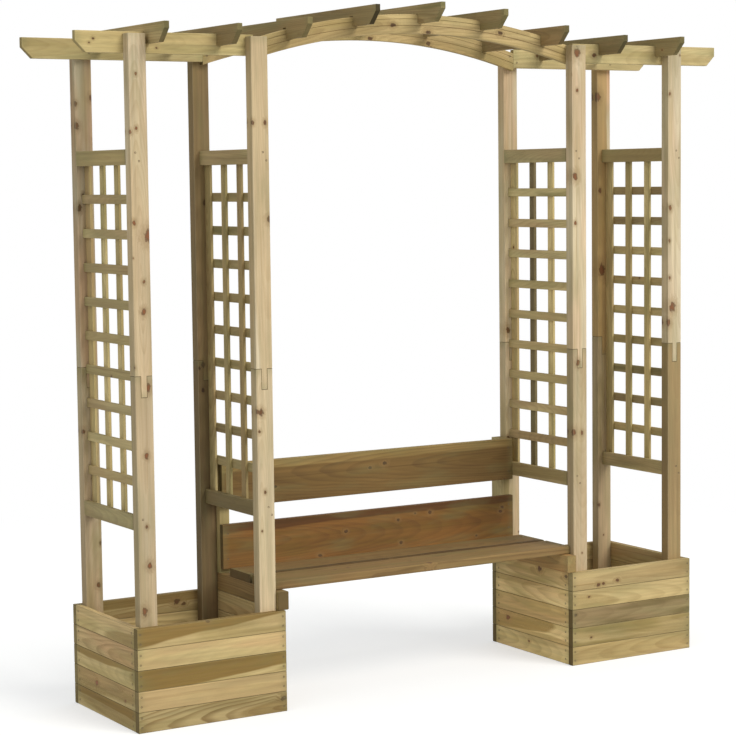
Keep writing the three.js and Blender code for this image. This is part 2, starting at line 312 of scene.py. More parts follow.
# Growth rings round the leaning pith line: each gets slowly darker, ends sharply, and has a
# strength of its own, as good and bad years do
pith_across = along * ((lean_luck - 0.5) * 0.05) + (side_luck - 0.5) * 0.07
pith_through = depth_luck * 0.05 + 0.022
depth = along * ((dive_luck - 0.5) * 0.22) + through + pith_through
warp = (pen.noise(moved, (3.2, 14, 14)) - 0.5) * 0.014
from_pith = pen.vector("LENGTH", pen.join(across - pith_across, depth, 0.0), output="Value") + warp
turns = from_pith / given["Ring width"] + halo * 1.6
saw = pen.math("FRACT", turns)
year = pen.add("ShaderNodeTexWhiteNoise", {"W": pen.math("FLOOR", turns)}, noise_dimensions="1D")
year = Value(pen, year.outputs["Value"])
rings = pen.between(saw, 0.25, 0.9) * pen.between(saw, 1.0, 0.9) * (year * 0.6 + 0.4)
rings = rings * (contrast_luck * 0.6 + 0.7)

# Heartwood, streaks, fibres and broad blotches
edge = side_luck * 0.045 + 0.028
heart = pen.between(from_pith, edge + 0.004, edge) * heart_share
offset, slope, strength = pen.split(given["Band"])
wave = (pen.noise(moved, (4.5, 9, 0)) - 0.5) * 0.022
border = (across - offset - (along * slope + wave)) * pen.math("SIGN", strength)
heart = pen.math("MAXIMUM", heart, pen.between(border, -0.003, 0.004) * abs(strength))
fibre = pen.noise(moved, (34, 850, 850), 1.0)
pen.fill(result, Rings=rings, Heart=heart, Fibre=fibre, Knot=knot, Knot_rim=rim, Knot_halo=halo,
         Streaks=pen.noise(moved, (2.4, 95, 95), 3.0),
         Lines=pen.between(pen.noise(moved, (1.3, 150, 150)), 0.6, 0.72),
         Blotches=pen.noise(moved, (2.6, 11, 11)),
         Warm=pen.between(pen.noise(moved, (2.2, 17, 17)), 0.36, 0.62),
         Olive=pen.between(pen.noise(moved, (3.1, 26, 9)), 0.42, 0.66),
         Relief=fibre * 0.45 + rings * 0.3 + rim * -0.6)
print("Grain group nodes:", len(pen.tree.nodes))

# %% [markdown]
# ## Edges, ends and the green of the treatment
#
# Planed edges rub paler, end grain drinks the preservative and turns darker and greener, and the
# treatment leaves soft green patches. Half less Place says how far each point is from the board's
# faces. Where two of those distances are small, it is an arris, and right at it, where boards meet,
# the joint is darkened: partly dirt that gathers there and partly painted shade of the gap. A face
# that looks along the grain is end grain, also on a cut at 45 degrees. The narrow faces are made a
# little greyer and darker: painted shade for the posts' side faces.

# %% Board edges group
pen, given, result = new_group(
    "Board edges", dict.fromkeys(["Place", "Half", "Along"], "Vector"),
    dict.fromkeys(["Arris", "Joint", "End grain", "Near end", "Narrow face"], "Float"))
inset = pen.vector("SUBTRACT", given["Half"], pen.vector("ABSOLUTE", given["Place"]))
first, second, third = pen.split(inset)
lesser, greater = pen.math("MINIMUM", first, second), pen.math("MAXIMUM", first, second)
middle = pen.math("MAXIMUM", lesser, pen.math("MINIMUM", greater, third))
normal = pen.add("ShaderNodeNewGeometry").outputs["Normal"]
facing = abs(pen.vector("DOT_PRODUCT", normal, given["Along"], output="Value"))
pen.fill(result, Arris=pen.between(middle, 0.0035, 0.0008), Joint=pen.between(middle, 0.0016, 0.0005),
         End_grain=pen.between(facing, 0.45, 0.6), Near_end=pen.between(first, 0.034, 0.0),
         Narrow_face=pen.between(second, 0.0022, 0.0))
print("Board edges group nodes:", len(pen.tree.nodes))

# %% Treatment stain group
pen, given, result = new_group(
    "Treatment stain", {**dict.fromkeys(["Place", "Board"], "Vector"),
                        **dict.fromkeys(["Amount", "End grain", "Near end", "Knot halo"], "Float")},
    {"Stain": "Float"})
far = pen.vector("ADD", given["Place"], pen.scaled(given["Board"], 53, 53, 53))
patches = pen.between(pen.noise(far, (4.5, 19, 19), 3.0), 0.48, 0.72) * given["Amount"]
ends = given["End grain"] * 0.3 + given["Near end"] * 0.5
pen.put(result["Stain"], pen.math("ADD", patches + ends, given["Knot halo"] * 0.12, clamp=True))
print("Treatment stain group nodes:", len(pen.tree.nodes))

# %% [markdown]
# ## From masks to colour
#
# One more group turns the masks into a colour and a roughness. It lays the colours over each other
# in the order in which they came about: the wood itself, its rings and knots, the treatment's
# stain, and last the rubbed edges. Two more facts steer it for each board. Hue holds the shares of
# warm and olive tint and the red of the knots. Look says how dark the board's ends are and how much
# its rings and fine lines show.

# %% Timber colour group
COLOURS = ["Sapwood", "Heartwood", "Latewood", "Warm colour", "Olive colour", "Stain colour", "End colour"]
EDGE_MASKS = ["Arris", "Joint", "End grain", "Narrow face", "Stain"]
AMOUNTS = ["Ring strength", "Joint dirt", "Narrow grey"]
pen, given, result = new_group(
    "Timber colour", {**dict.fromkeys(MASKS + EDGE_MASKS + AMOUNTS, "Float"),
                      **dict.fromkeys(COLOURS, "Color"),
                      **dict.fromkeys(["Board", "Hue", "Look"], "Vector")},
    {"Colour": "Color", "Roughness": "Float"})
tone = pen.split(given["Board"])[1]
warm_share, olive_share, knot_red = pen.split(given["Hue"])
end_dark, ring_contrast, line_contrast = pen.split(given["Look"])
wood = pen.mix(given["Heart"], given["Sapwood"], given["Heartwood"])
pale = given["Heart"] * -0.75 + 1.0  # the tints hardly show in dark heartwood
for share, colour in (
    (given["Warm"] * (warm_share * pale), given["Warm colour"]),
    (given["Olive"] * (olive_share * pale), given["Olive colour"]),
    (given["Rings"] * (given["Ring strength"] * ring_contrast), given["Latewood"]),
    (given["Lines"] * (line_contrast * 0.35), given["Latewood"]),
    (given["Knot halo"] * 0.4, paint(146, 108, 66)),
    (given["Knot"], pen.mix(knot_red, paint(78, 52, 26), paint(150, 90, 54))),
    (given["Knot rim"] * 0.5, paint(66, 44, 24)),
):
    wood = pen.mix(share, wood, colour)
shade = given["Streaks"] * 0.56 + 0.72
shade = shade * (given["Fibre"] * 0.14 + 0.93) * (given["Blotches"] * 0.5 + 0.75) * (tone * 0.9 + 0.55)
wood = pen.mix(1.0, wood, pen.join(shade, shade, shade), "MULTIPLY")
wood = pen.mix(given["Stain"] * 0.5, wood, given["Stain colour"])
wood = pen.mix(given["Arris"] * 0.2, wood, given["Sapwood"])
wood = pen.mix(given["End grain"] * end_dark, wood, given["End colour"])
# Painted shade: the narrow side faces are made greyer and darker, standing in for the shade on the posts'
# side faces.
wood = pen.mix(given["Narrow face"] * given["Narrow grey"], wood, paint(210, 210, 194), "MULTIPLY")
# Painted shade: the joint strip is darkened, partly dirt that gathers there and partly the shade of the gap
# between boards.
wood = pen.mix(given["Joint"] * given["Joint dirt"], wood, paint(74, 62, 36))
rough = given["Rings"] * -0.1 + 0.74 + given["Fibre"] * 0.14 + given["Knot"] * -0.16
rough = pen.math("ADD", rough, given["End grain"] * 0.1, clamp=True)
pen.fill(result, Colour=wood, Roughness=rough)
print("Timber colour group nodes:", len(pen.tree.nodes))

# %% [markdown]
# ## The timber materials
#
# Every board carries its facts as attributes. Each material reads them, runs them through the
# groups with its own values, and ends in a Principled BSDF of its own. A group's input is joined to
# the fact, or to the output of an earlier group, that has its name. The bump is shallow: planed
# pine is nearly smooth, with a little fibre and slightly sunken knot rims.

# %% A timber material
FACTS = ["Place", "Half", "Along", "Board", "Hue", "Band", "Look", *KNOTS]


def attribute_name(fact):
    return fact.lower().replace(" ", "_")


def timber(name, sapwood, heartwood, latewood, ring_width=0.005, ring_strength=0.35, knot_size=0.005,
           knot_share=0.2, stain_amount=0.45, joint_dirt_and_shade=0.0, narrow_face_shade=0.0, warm=(196, 156, 112),
           olive=(146, 130, 72), end=(92, 78, 44)):
    material, pen = new_material(name)
    known = {}
    for fact in FACTS:
        node = pen.add("ShaderNodeAttribute", attribute_name=attribute_name(fact))
        known[fact] = node.outputs["Vector"]

    def group(tree_name, **values):
        node = pen.add("ShaderNodeGroup", node_tree=bpy.data.node_groups[tree_name])
        for socket in node.inputs:
            if socket.name in known:
                pen.put(socket, known[socket.name])
        pen.fill(node.inputs, **values)
        known.update({socket.name: socket for socket in node.outputs})

    group("Grain", Ring_width=ring_width, Knot_size=knot_size, Knot_share=knot_share)
    group("Board edges")
    group("Treatment stain", Amount=stain_amount)
    group("Timber colour", Ring_strength=ring_strength, Joint_dirt=joint_dirt_and_shade, Narrow_grey=narrow_face_shade,
          Sapwood=paint(*sapwood), Heartwood=paint(*heartwood), Latewood=paint(*latewood),
          Warm_colour=paint(*warm), Olive_colour=paint(*olive), Stain_colour=paint(122, 124, 82),
          End_colour=paint(*end))
    bump = pen.add("ShaderNodeBump", {"Height": known["Relief"], "Strength": 0.55, "Distance": 0.0006})
    surface = pen.add("ShaderNodeBsdfPrincipled", {
        "Base Color": known["Colour"],
        "Roughness": known["Roughness"],
        "Normal": bump.outputs["Normal"],
    })
    surface.inputs["Specular IOR Level"].default_value = 0.35
    pen.add("ShaderNodeOutputMaterial", {"Surface": surface.outputs[0]})
    return material


post_pine = timber("post pine", (217, 201, 169), (184, 154, 102), (164, 132, 88), ring_strength=0.28,
                   warm=(206, 164, 124), olive=(166, 148, 92), narrow_face_shade=0.55)
wall_pine = timber("planter pine", (196, 174, 122), (132, 106, 54), (132, 104, 56), ring_width=0.0075,
                   ring_strength=0.5, knot_share=0.1, joint_dirt_and_shade=0.85, warm=(188, 150, 108),
                   olive=(136, 120, 62), end=(98, 80, 44))
trellis_pine = timber("trellis pine", (204, 186, 132), (152, 128, 74), (138, 110, 62), ring_width=0.004,
                      knot_size=0.004, knot_share=0.15, warm=(172, 138, 98), olive=(142, 132, 82),
                      joint_dirt_and_shade=0.4)
rail_pine = timber("rail pine", (218, 200, 144), (176, 150, 92), (154, 126, 76), knot_size=0.005,
                   end=(136, 116, 70))
arch_pine = timber("arch pine", (212, 188, 132), (164, 136, 80), (130, 102, 56), ring_strength=0.5,
                   olive=(150, 130, 68), end=(96, 80, 44))
glue_line_and_shade = timber("glue line and shade", (124, 102, 60), (110, 90, 50), (96, 76, 42), knot_share=0.0)
rafter_pine = timber("rafter pine", (160, 142, 98), (126, 106, 64), (112, 88, 50), knot_share=0.2,
                     warm=(152, 118, 74), olive=(112, 106, 62), end=(64, 54, 28), ring_strength=0.5)
bench_pine = timber("bench pine", (144, 118, 74), (76, 54, 28), (92, 66, 34), ring_width=0.007,
                    ring_strength=0.5, joint_dirt_and_shade=0.6, warm=(134, 98, 58), olive=(116, 102, 52),
                    end=(92, 68, 38))
back_pine = timber("backrest pine", (160, 134, 82), (120, 92, 50), (74, 48, 20), ring_width=0.009,
                   ring_strength=0.8, warm=(122, 84, 42), olive=(110, 92, 40), end=(62, 44, 26))
heart_pine = timber("backrest heart pine", (132, 94, 46), (86, 54, 26), (92, 58, 28), ring_width=0.008,
                    ring_strength=0.4, warm=(140, 94, 46), olive=(106, 90, 38), end=(62, 44, 26),
                    stain_amount=0.6)

# %% [markdown]
# Screws are coated steel, brown from the coating and from the treatment that stands in the heads.
# They are tiny, so a faint cloudiness in their colour and roughness is all that shows.

# %% Coated steel
steel, pen = new_material("coated steel")
cloud = pen.noise(pen.add("ShaderNodeTexCoord").outputs["Object"], (420, 420, 420), 3.0)
surface = pen.add("ShaderNodeBsdfPrincipled", {
    "Base Color": pen.mix(cloud, paint(84, 70, 48), paint(126, 108, 78)),
    "Roughness": cloud * 0.25 + 0.4,
})
surface.inputs["Metallic"].default_value = 0.35
pen.add("ShaderNodeOutputMaterial", {"Surface": surface.outputs[0]})
print("Materials:", [m.name for m in bpy.data.materials])

# %% [markdown]
# ## Shaping a board
#
# A board starts as a cube that is scaled to fit a box. Its long arrises were eased by the planer,
# so they get a wide rounded bevel. Its ends were cut by a saw and stay almost sharp, so they get a
# tiny one. The box comes from the CAD node that the board stands for.

# %% Boards
AXES = {"x": 0, "y": 1, "z": 2}
PLANED, SAWN = 2.5 * MM, 0.6 * MM  # how far long arrises and sawn ends are rounded


def one_way(axis, length=1.0):
    """A vector along one axis."""
    return Vector(length if index == axis else 0.0 for index in range(3))


def plain_box(low, high):
    bm = bmesh.new()
    bmesh.ops.create_cube(bm, size=1)
    bmesh.ops.scale(bm, vec=high - low, verts=bm.verts)
    bmesh.ops.translate(bm, vec=(low + high) / 2, verts=bm.verts)
    return bm


def ease(bm, edges, width, steps):
    """Bevels edges and gives the faces that this makes."""
    return bmesh.ops.bevel(bm, geom=edges, offset=width, offset_type="OFFSET", segments=steps, profile=0.5,
                           affect="EDGES", material=-1, clamp_overlap=True)["faces"]


def extrude(bm, faces, by):
    grown = bmesh.ops.extrude_face_region(bm, geom=faces)["geom"]
    bmesh.ops.translate(bm, vec=by, verts=[item for item in grown if isinstance(item, bmesh.types.BMVert)])


def runs_along(edge, axis):
    way = edge.verts[1].co - edge.verts[0].co
    return abs(way[axis]) > 0.99 * way.length


def lies_on(item, axis, *planes):
    """Whether each corner of an edge or a face lies on one of the planes across an axis."""
    return all(min(abs(v.co[axis] - plane) for plane in planes) < 0.01 * MM for v in item.verts)


def board(low, high, grain_axis, round_by=PLANED, **wood):
    """A planed board that fills a box, with its grain along one axis."""
    bm = plain_box(low, high)
    axis = AXES[grain_axis]
    ease(bm, [e for e in bm.edges if runs_along(e, axis)], round_by, 3)
    ease(bm, [e for e in bm.edges if lies_on(e, axis, low[axis], high[axis])], SAWN, 1)
    lay_grain(bm, low, high, grain_axis, **wood)
    return bm

# %% Facts on a board's points
def lay_grain(bm, low, high, grain_axis, tone=0.5, heart=0.5, hue=None, band=(0, 0, 0), knots=(),
              end=None, rings=1.0, lines=1.0):
    """Writes on each point where it lies in its board, and the board's own numbers and marks.

    The band's offset and the knots are in millimetres from the board's middle."""
    if end is None:
        end = chance.uniform(0.35, 0.9)
    u = AXES[grain_axis]
    size = high - low
    v, w = sorted((axis for axis in range(3) if axis != u), key=lambda axis: -size[axis])
    middle = (low + high) / 2
    facts = {
        "half": Vector((size[u], size[v], size[w])) / 2,
        "along": one_way(u),
        "board": Vector((chance.random(), tone + chance.uniform(-0.03, 0.03), heart)),
        "hue": Vector(hue or (chance.uniform(0.05, 0.55), chance.uniform(0.05, 0.55), chance.random())),
        "band": Vector((band[0] * MM, band[1], band[2])),
        "look": Vector((end, rings, lines)),
    }
    for index, name in enumerate(KNOTS):
        knot = knots[index] if index < len(knots) else (9000, 9000, 1)  # none: a tiny one far away
        facts[attribute_name(name)] = Vector(knot) * MM
    flip = chance.choice((-1, 1))
    layers = {name: bm.verts.layers.float_vector.new(name) for name in ["place", *facts]}
    for vert in bm.verts:
        place = vert.co - middle
        vert[layers["place"]] = Vector((place[u], place[v], place[w] * flip))
        for name, fact in facts.items():
            vert[layers[name]] = fact

# %% [markdown]
# Some boards aren't plain rectangles: a rail has its free end cut off below, a rafter has notches,
# and a floor board is cut round a post. Their outline is drawn as a few points, filled, and extruded
# through the thickness.

# %% Boards from an outline
def outline_board(points, thickness_axis, start, end, round_by):
    """Extrudes an outline, given in the two axes that aren't the thickness, from start to end."""
    bm = bmesh.new()
    u, v = [axis for axis in range(3) if axis != thickness_axis]
    verts = []
    for first, second in points:
        place = [start, start, start]
        place[u], place[v] = first, second
        verts.append(bm.verts.new(place))
    extrude(bm, [bm.faces.new(verts)], one_way(thickness_axis, end - start))
    bmesh.ops.recalc_face_normals(bm, faces=bm.faces)
    ease(bm, [e for e in bm.edges if not runs_along(e, thickness_axis)], round_by, 2)
    return bm

# %% Pieces
def new_object(name, bm, material, second=None):
    mesh = bpy.data.meshes.new(name)
    bm.to_mesh(mesh)
    bm.free()
    mesh.materials.append(material)
    if second:
        mesh.materials.append(second)
    made = bpy.data.objects.new(name, mesh)
    scene.collection.objects.link(made)
    return made


def make_piece(name, boards, material, *nodes, slot, second=None):
    """Joins boards into one piece, shows it in place of its CAD nodes, and lets it ride."""
    bm = bmesh.new()
    for part in boards:
        scratch = bpy.data.meshes.new("scratch")
        part.to_mesh(scratch)
        part.free()
        bm.from_mesh(scratch)
        bpy.data.meshes.remove(scratch)
    piece = new_object(name, bm, material, second)
    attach(piece, "root")
    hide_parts(*nodes)


def single(node, grain_axis, material, slot, round_by=PLANED, lower=0.0, **wood):
    """A piece that is one board in place of one CAD node."""
    low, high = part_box(node)
    low.z -= lower
    make_piece(node + "_timber", [board(low, high, grain_axis, round_by, **wood)], material, node,
               slot=slot)

# %% [markdown]
# ## Planter boxes
#
# Each wall is a stack of five boards. The solids join them into one wall with grooves, but in the
# render each board should show its own grain and tone, so each wall is made again from five
# separate boards. What the eye notices is how they differ, so each board gets its own entry, from
# the top down: a tone, shares of warm and olive tint and of red in its knots, and where a board
# shows them, a band of heartwood and knots at their places.

# %% Boards of the planter walls
WALLS = {
    "planter_left_front_wall": [
        dict(tone=0.53, hue=(0.2, 0.4, 0.2), band=(2, 0.11, 1.0), knots=[(-17, 31, 5)], lines=0.6,
             rings=0.7),
        dict(tone=0.62, hue=(0.5, 0.1, 0.4), lines=0.4, rings=0.3),
        dict(tone=0.52, hue=(0.0, 0.5, 0.2), band=(-30, 0.095, 1.0), rings=0.8),
        dict(tone=0.46, hue=(0.4, 0.05, 0.5), lines=0.4, rings=0.5),
        dict(tone=0.3, hue=(0.1, 0.4, 0.2), knots=[(250, 10, 7)], rings=1.5, lines=0.7),
    ],
    "planter_left_outer_wall": [
        dict(tone=0.68, hue=(0.3, 0.4, 0.5), rings=0.7),
        dict(tone=0.64, hue=(0.85, 0.1, 0.5), rings=1.3),
        dict(tone=0.72, hue=(0.0, 0.4, 0.2), band=(13, -0.02, 0.9), rings=0.7),
        dict(tone=0.62, hue=(0.6, 0.3, 0.9), knots=[(68, 2, 7), (-150, -14, 4)], rings=1.3),
        dict(tone=0.62, hue=(0.1, 0.4, 0.3), band=(4, 0.03, 1.0), rings=0.8),
    ],
    "planter_left_inner_wall": [
        dict(tone=0.56, knots=[(-90, 8, 7)]), *(dict(tone=tone) for tone in (0.5, 0.5, 0.4, 0.36)),
    ],
    "planter_left_back_wall": [
        dict(tone=0.45, hue=(0.3, 0.3, 0.2), band=(0, 0.0, 0.8), knots=[(105, 2, 8), (130, -8, 5)],
             rings=1.4),
        dict(tone=0.74, hue=(0.8, 0.1, 0.2)), dict(tone=0.42), dict(tone=0.38), dict(tone=0.44),
    ],
    "planter_right_front_wall": [
        dict(tone=0.47, hue=(0.3, 0.25, 0.3), knots=[(-150, -20, 5), (-128, -18, 4), (-67, -12, 5)],
             end=0.1),
        dict(tone=0.49, hue=(0.1, 0.3, 0.2), knots=[(-191, 7, 3)], end=0.1, rings=0.6),
        dict(tone=0.0, hue=(0.4, 0.6, 0.2), knots=[(-250, 15, 4)], lines=0.6, rings=0.6, end=0.95),
        dict(tone=0.42, hue=(0.1, 0.8, 0.2), lines=0.6, rings=0.6, end=0.95),
        dict(tone=0.62, hue=(0.25, 0.15, 0.3), band=(-24, 0.0, 0.4), lines=0.6, end=0.95),
    ],
    # This wall's tones run above one: painted light that lifts the shade which falls on it under the seat.
    "planter_right_inner_wall": [
        dict(tone=1.25, hue=(0.3, 0.6, 0.1), band=(-8, -0.02, 0.4), knots=[(-54, 20, 8), (-212, 16, 6)]),
        dict(tone=1.45, hue=(0.3, 0.4, 0.3), band=(20, -0.04, 0.6), rings=0.8),
        dict(tone=1.45, hue=(0.7, 0.1, 0.5), rings=0.8),
        dict(tone=1.5, hue=(0.5, 0.3, 0.3), band=(-14, 0.03, -0.55), knots=[(148, 8, 8)], rings=0.6),
        dict(tone=1.3, hue=(0.3, 0.3, 0.3), knots=[(16, 9, 4)], rings=0.6),
    ],
    "planter_right_outer_wall": [dict(tone=tone) for tone in (0.44, 0.36, 0.5, 0.4, 0.48)],
    "planter_right_back_wall": [dict(tone=tone) for tone in (0.5, 0.4, 0.36, 0.46, 0.42)],
}
print("Wall boards:", sum(len(rows) for rows in WALLS.values()))

# %% Planter walls
JOINT_GAP = 0.3 * MM  # between two boards of a wall
WALL_ROUNDING = 2.2 * MM


def wall(node, grain_axis, rows):
    low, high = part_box(node)
    height = (high.z - low.z) / len(rows)
    boards = []
    for row, wood in enumerate(rows):
        top = high.z - row * height
        foot = Vector((low.x, low.y, top - height + JOINT_GAP / 2))
        head = Vector((high.x, high.y, top - JOINT_GAP / 2))
        boards.append(board(foot, head, grain_axis, WALL_ROUNDING, heart=chance.uniform(0.2, 0.9), **wood))
    make_piece(node + "_boards", boards, wall_pine, node, slot="wall_pine")


for node, rows in WALLS.items():
    wall(node, "x" if "front" in node or "back" in node else "y", rows)
print("Walls made:", len(WALLS))

# %% [markdown]
# The floor lies inside. Its boards run from front to back, and the outer two are cut round the
# posts, which stand in the corners.

# %% Planter floors
FLOOR_BOARDS, FLOOR_GAP, POST_PLAY = 5, 1.5 * MM, 0.4 * MM
FLOOR_ROUNDING, NOTCHED_ROUNDING = 1.5 * MM, 1.2 * MM


def planter_floor(side):
    node = f"planter_{side}_floor"
    low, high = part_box(node)
    last = FLOOR_BOARDS - 1
    width = (high.x - low.x) / FLOOR_BOARDS
    posts = [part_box(f"post_lower_{side}_{place}_front") for place in ("outer", "inner")]
    reach = abs(posts[0][1].y) - POST_PLAY
    left_notch = min(box[1].x for box in posts) + POST_PLAY
    right_notch = max(box[0].x for box in posts) - POST_PLAY
    wood = dict(tone=0.42, heart=0.6)
    boards = []
    for index in range(FLOOR_BOARDS):
        foot = Vector((low.x + index * width + (FLOOR_GAP if index else 0), low.y, low.z))
        head = Vector((low.x + (index + 1) * width - (FLOOR_GAP if index < last else 0), high.y, high.z))
        if 0 < index < last:
            boards.append(board(foot, head, "y", FLOOR_ROUNDING, **wood))
            continue
        outside, inside, notch = (head.x, foot.x, right_notch) if index else (foot.x, head.x, left_notch)
        half = [(outside, -reach), (notch, -reach), (notch, low.y), (inside, low.y)]
        bm = outline_board(half + [(x, -y) for x, y in reversed(half)], 2, low.z, high.z, NOTCHED_ROUNDING)
        lay_grain(bm, foot, head, "y", **wood)
        boards.append(bm)
    make_piece(node + "_boards", boards, wall_pine, node, slot="floor_pine")


planter_floor("left")
planter_floor("right")
print("Boards in a floor:", FLOOR_BOARDS)

# %% [markdown]
# ## Posts
# Every post is made in two lengths with a bridle joint. A cut at each cheek of the joint divides
# the end face in three, and then one or two of those faces are pulled out: the middle one for a
# tongue, the outer two for a fork. That keeps each length one closed body. The joint's edges get a
# tiny bevel in a darker wood colour: partly dirt and stain that settle in that line, and partly
# painted shade of the narrow gap.
#
# Each post has a tone, its tints, and its knots as height, place across and radius in millimetres.
# The lower lengths are more olive than warm and have more heartwood: lower is their step in tone,
# and lower_heart their share of heartwood.

# %% Tones and knots of the posts
POSTS = {
    "left_outer_front": dict(tone=0.43, lower=-0.08, lower_heart=0.3, hue=(0.3, 0.25, 0.8), knots=[
        (2041, -6, 3.5), (1876, -8, 4), (1588, -22, 5), (1547, 27, 13), (1406, 7, 4), (1313, 4, 6.5),
        (1077, 12, 9), (866, 4, 6), (644, 0, 4), (521, 7, 7), (378, -13, 8)]),
    "left_outer_back": dict(tone=0.22, lower=0.1, hue=(0.7, 0.4, 0.5), knots=[
        (1984, 27, 6), (1965, -27, 5), (1895, -24, 7), (1631, -22, 7), (1673, -9, 4),
        (905, -27, 6), (395, 15, 6), (533, 25, 4)]),
    "left_inner_front": dict(tone=0.5, lower=0.04, hue=(0.15, 0.15, 0.3), knots=[
        (1894, 16, 5), (1895, -28, 5), (1591, 26, 7), (975, -14, 7), (977, -29, 6), (718, -4, 4)]),
    "left_inner_back": dict(tone=-0.04, lower_heart=0.9, hue=(0.5, 1.0, 0.3), band=(30, 0.0, -0.9), knots=[
        (1640, 8, 6), (1100, -10, 7), (1015, -12, 5)]),
    "right_inner_front": dict(tone=0.5, lower=-0.16, lower_heart=0.35, hue=(0.4, 0.3, 0.6), knots=[
        (2141, -8, 11), (2011, -8, 4), (1714, -18, 9), (1553, -18, 4.5),
        (1065, -8, 7), (822, -28, 8), (819, 8, 5)]),
    "right_inner_back": dict(tone=0.66, hue=(0.5, 0.3, 0.3), knots=[
        (1159, -17, 8), (1290, 12, 5), (850, 10, 5), (760, -18, 6)]),
    "right_outer_front": dict(tone=0.47, lower=-0.27, lower_heart=0.9, hue=(0.3, 0.3, 0.7), knots=[
        (2002, -22, 4), (1598, -20, 6), (1481, -24, 4), (1349, -22, 4), (1244, -10, 11), (1189, -28, 8)]),
    "right_outer_back": dict(tone=0.54, lower=-0.2, lower_heart=0.5, hue=(0.9, 0.4, 0.5),
                             band=(14, 0.0, -1.0), knots=[
        (2007, -27, 11), (1660, -18, 6), (1365, -10, 14), (479, -26, 4)]),
}
print("Knots in the posts:", sum(len(wood["knots"]) for wood in POSTS.values()))

# %% Posts with a bridle joint
SHOULDER, JOINT_LENGTH, TONGUE = 1114 * MM, 66 * MM, 20 * MM
PLAY = 0.3 * MM  # between the two lengths
POST_ROUNDING, JOINT_LINE = 3.2 * MM, 0.8 * MM
AROUND_JOINT = (SHOULDER - JOINT_LENGTH - 1.5 * MM, SHOULDER + 1 * MM)
SHARP = 1.2  # an angle between two faces, in radians
UPPER_STEP = 0.04  # in tone


def cut_across(bm, axis, at):
    geometry = list(bm.verts) + list(bm.edges) + list(bm.faces)
    bmesh.ops.bisect_plane(bm, geom=geometry, plane_co=one_way(axis, at), plane_no=one_way(axis))


def pull(bm, faces, by):
    extrude(bm, faces, by)
    bmesh.ops.delete(bm, geom=faces, context="FACES")


def post_length(node, tone, knots, hue, lower=-0.1, lower_heart=0.2, band=(0, 0, 0)):
    low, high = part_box(node)
    upper = "upper" in node
    half_tongue = TONGUE / 2 + (0 if upper else PLAY)
    centre = (low.x + high.x) / 2
    body_low, body_high = low.copy(), high.copy()
    if upper:
        level = body_low.z = SHOULDER + PLAY
    else:
        level = body_high.z = high.z - JOINT_LENGTH - PLAY
    bm = plain_box(body_low, body_high)
    cut_across(bm, 0, centre - half_tongue)
    cut_across(bm, 0, centre + half_tongue)
    ends = [f for f in bm.faces if lies_on(f, 2, level)]
    inside = [f for f in ends if abs(f.calc_center_median().x - centre) < half_tongue]
    if upper:
        pull(bm, inside, Vector((0, 0, low.z - level)))
    else:
        pull(bm, [f for f in ends if f not in inside], Vector((0, 0, high.z - level)))
    corners = [e for e in bm.edges if runs_along(e, 2) and lies_on(e, 0, low.x, high.x)]
    ease(bm, corners, POST_ROUNDING, 3)
    cuts = [e for e in bm.edges if len(e.link_faces) == 2 and e.calc_face_angle() > SHARP
            and all(AROUND_JOINT[0] < v.co.z < AROUND_JOINT[1] for v in e.verts)]
    # The joint's bevel takes the darker second material: partly glue and dirt, partly painted shade of the
    # gap.
    for face in ease(bm, cuts, JOINT_LINE, 1):
        face.material_index = 1
    middle = (low.z + high.z) / 2 / MM
    inside = [(height - middle, across, radius) for height, across, radius in knots
              if low.z < height * MM < high.z]
    if not upper:
        warm, olive, red = hue
        hue = (min(warm, olive), max(warm, olive), red)
        band = (-60, 0.0, lower_heart)
    lay_grain(bm, low, high, "z", tone + (UPPER_STEP if upper else lower), chance.uniform(0.0, 0.5), hue,
              band, inside)
    return bm


for place, wood in POSTS.items():
    for level in ("lower", "upper"):
        node = f"post_{level}_{place}"
        make_piece(node + "_timber", [post_length(node, **wood)], post_pine, node, slot="post_pine",
                   second=glue_line_and_shade)
print("Post lengths made:", 2 * len(POSTS))

# %% [markdown]
# ## Trellis sides
#
# A panel is a lattice of thin slats and uprights with a wider rail across its top and bottom. The
# slats are too regular to place by hand, so a loop spaces them, and each one is a board of its own
# with its own grain. Two more slats lie behind the rails. Where the uprights lie against the rails,
# the slats are on their far side, and the other way round.

# %% Trellis panels
RAIL_THICKNESS, RAIL_HEIGHT, THIN = 17.7 * MM, 48 * MM, 10 * MM
SLAT_HEIGHT = UPRIGHT_WIDTH = 29.5 * MM
STILE_WIDTH, UPRIGHT_PLACES = 37 * MM, (-55 * MM, 55 * MM)
OPEN_SLATS, GAP_ABOVE, GAP_BELOW = 9, 91 * MM, 86.3 * MM
LATTICE_ROUNDING, RAIL_ROUNDING = 1.2 * MM, 2 * MM


def tints():
    """Shares of warm and olive tint for a thin board: mostly one or the other."""
    warm = chance.random()
    return (warm * 0.9, (1 - warm) * 0.9, 0.2)


